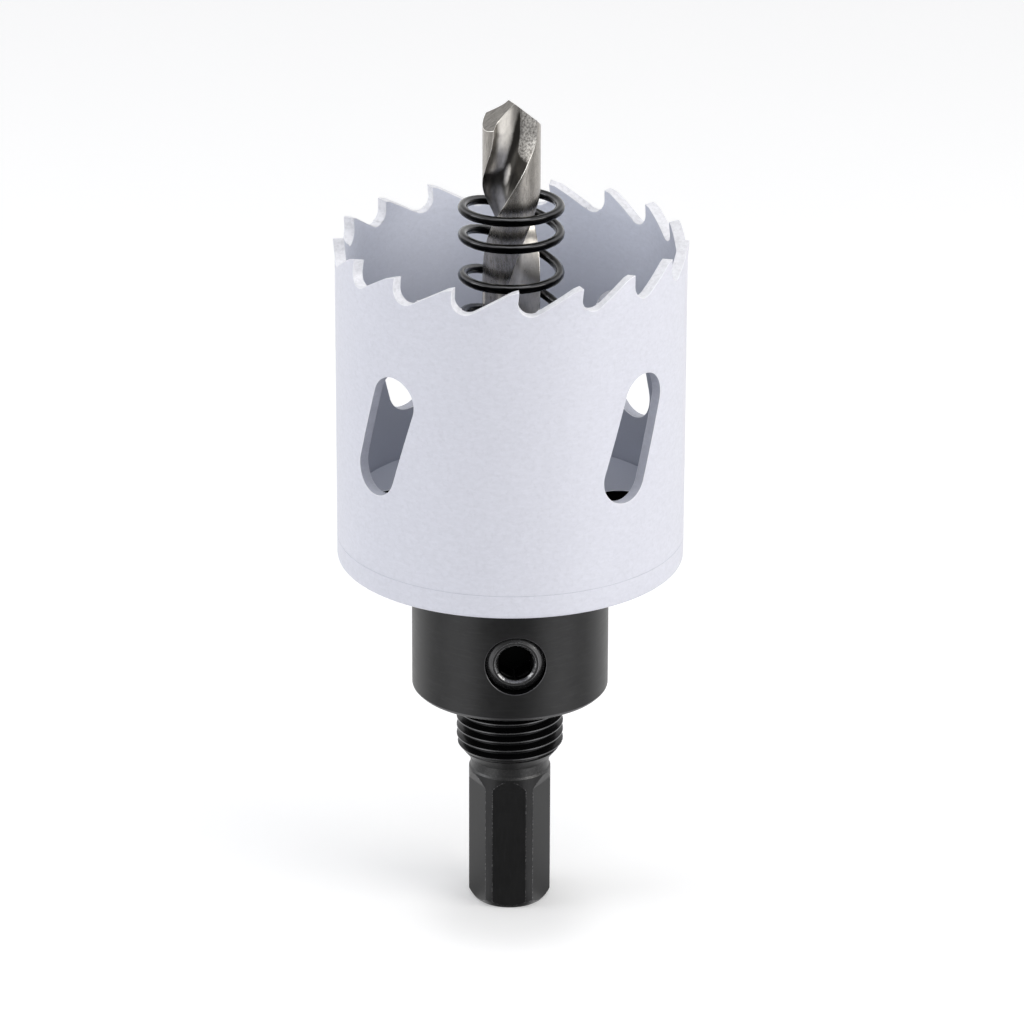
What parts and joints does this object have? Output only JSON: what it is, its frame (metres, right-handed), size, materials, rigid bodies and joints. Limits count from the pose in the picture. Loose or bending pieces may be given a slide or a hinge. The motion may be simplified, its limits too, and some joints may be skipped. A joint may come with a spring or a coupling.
{
  "type": "hole saw",
  "caption": "Hole saw: a toothed cup with leaning chip slots on a hex-shank arbor, with a pilot drill and an ejector spring that stand up through it.",
  "frame": {"origin": "centre of the shank's end face, on the axis that the saw turns about", "axes": "+Z along the axis of rotation, from the shank's end to the tooth tips; +X through the middle of a chip slot"},
  "size_m": [0.051, 0.0511, 0.1251],
  "materials": {
    "cup_paint": "pale satin paint, with bright ground tooth edges",
    "black_collar": "satin black oxide",
    "black_arbor": "semi-gloss black oxide",
    "black_wire": "gloss black",
    "ground_steel": "bright ground high-speed steel"
  },
  "bodies": {
    "root": {"cup_body": "cup_paint", "base_cap": "cup_paint", "arbor": "black_arbor", "collar": "black_collar", "set_screw": "black_wire", "pilot_drill": "ground_steel", "ejector_spring": "black_wire"}
  },
  "joints": []
}
